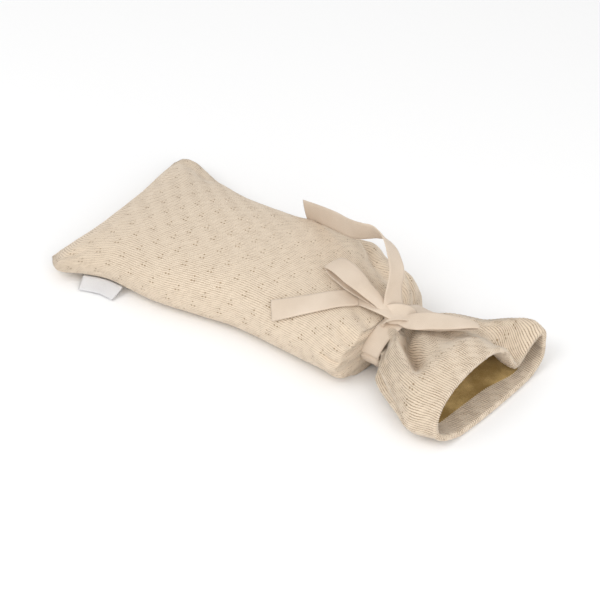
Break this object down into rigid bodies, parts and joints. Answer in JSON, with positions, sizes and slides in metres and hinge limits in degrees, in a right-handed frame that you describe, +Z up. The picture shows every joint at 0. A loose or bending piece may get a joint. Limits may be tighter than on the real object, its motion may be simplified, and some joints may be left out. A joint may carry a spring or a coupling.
{
  "type": "hot water bottle cover",
  "caption": "Knitted hot water bottle cover lying filled out on its back, its neck tied in a ribbon bow, with a velvet lining and a flared collar",
  "frame": {"origin": "on the surface that the cover lies on, under the middle of the whole object's box", "axes": "+X runs from the closed end along the length to the open mouth, +Y across to the far side where the long tail of the ribbon hangs, +Z up from the surface"},
  "size_m": [0.3692, 0.1718, 0.0845],
  "materials": {
    "knit": "matte fine knit",
    "lining_cloth": "soft velvet",
    "cotton_tape": "matte woven tape",
    "woven_label": "smooth woven"
  },
  "bodies": {
    "root": {"knit_cover": "knit", "lining": "lining_cloth", "ribbon_tie": "cotton_tape", "label": "woven_label"}
  },
  "joints": []
}
